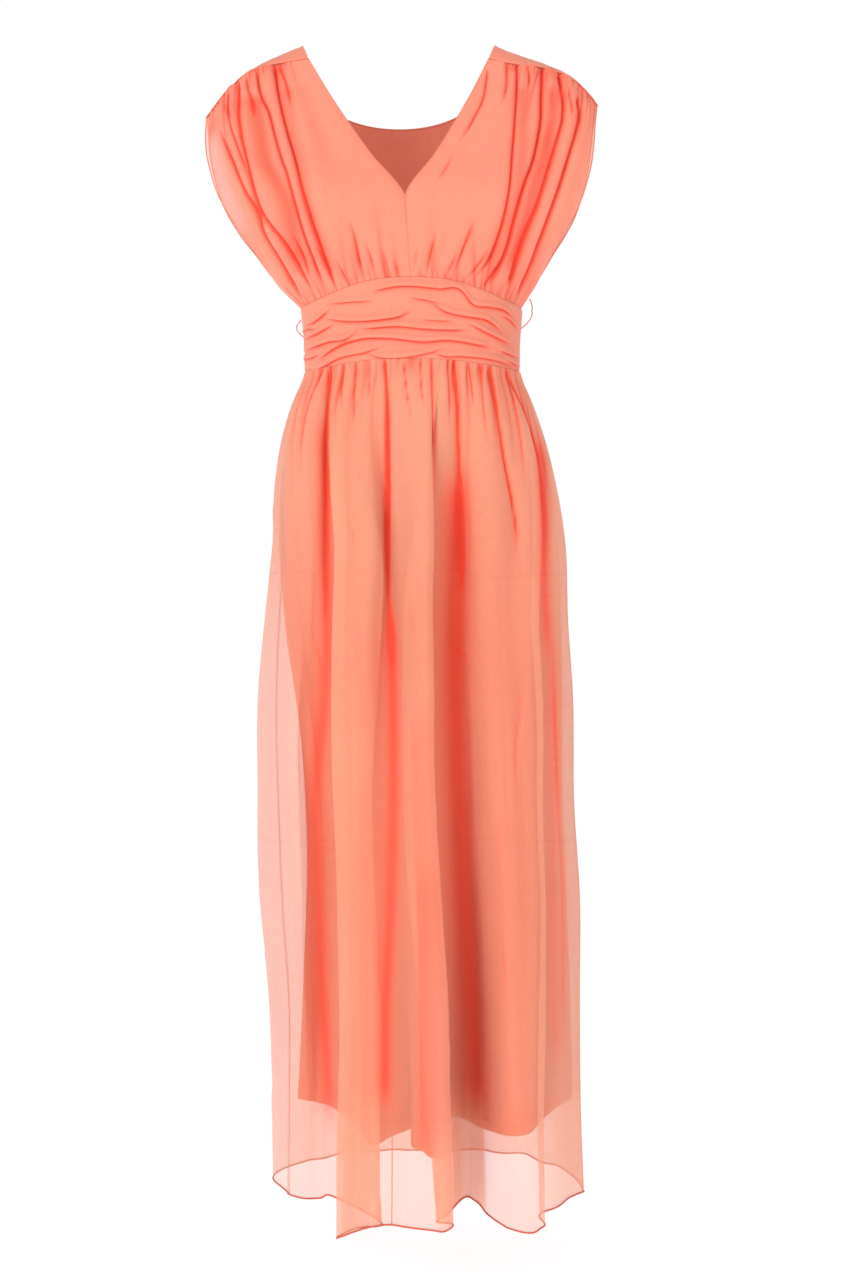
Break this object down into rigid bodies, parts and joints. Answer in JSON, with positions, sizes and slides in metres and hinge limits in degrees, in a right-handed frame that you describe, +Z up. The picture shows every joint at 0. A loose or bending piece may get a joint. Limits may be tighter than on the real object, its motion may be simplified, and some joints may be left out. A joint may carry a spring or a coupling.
{
  "type": "evening gown",
  "caption": "Floor-length evening gown of gathered chiffon with a V-neck, kimono caps, an arched ruched waistband and a sheer skirt over a shorter lining skirt, in its hollow worn form.",
  "frame": {"origin": "on the shoulder line, midway between the two shoulders, where the wearer carries the gown", "axes": "+Z up, -Y the gown's front, +X the wearer's left"},
  "size_m": [0.476, 0.503, 1.4116],
  "materials": {
    "chiffon_bodice": "fine matt crepe chiffon in coral, gathered over a backing",
    "chiffon_band": "coral chiffon in flat lapped folds over a firm band",
    "chiffon_overlay": "sheer coral chiffon with a narrow rolled hem",
    "lining_cloth": "smooth opaque coral lining with a double-turned hem",
    "thread_loop": "hand-worked chain of coral thread"
  },
  "bodies": {
    "root": {"shoulder_yoke_right": "chiffon_bodice", "shoulder_yoke_left": "chiffon_bodice", "bodice_front_right": "chiffon_bodice", "bodice_front_left": "chiffon_bodice", "bodice_back": "chiffon_bodice", "waistband_front": "chiffon_band", "waistband_back": "chiffon_band", "skirt_overlay_front": "chiffon_overlay", "skirt_overlay_back": "chiffon_overlay", "skirt_lining_front": "lining_cloth", "skirt_lining_back": "lining_cloth", "belt_loop_right": "thread_loop", "belt_loop_left": "thread_loop"}
  },
  "joints": []
}
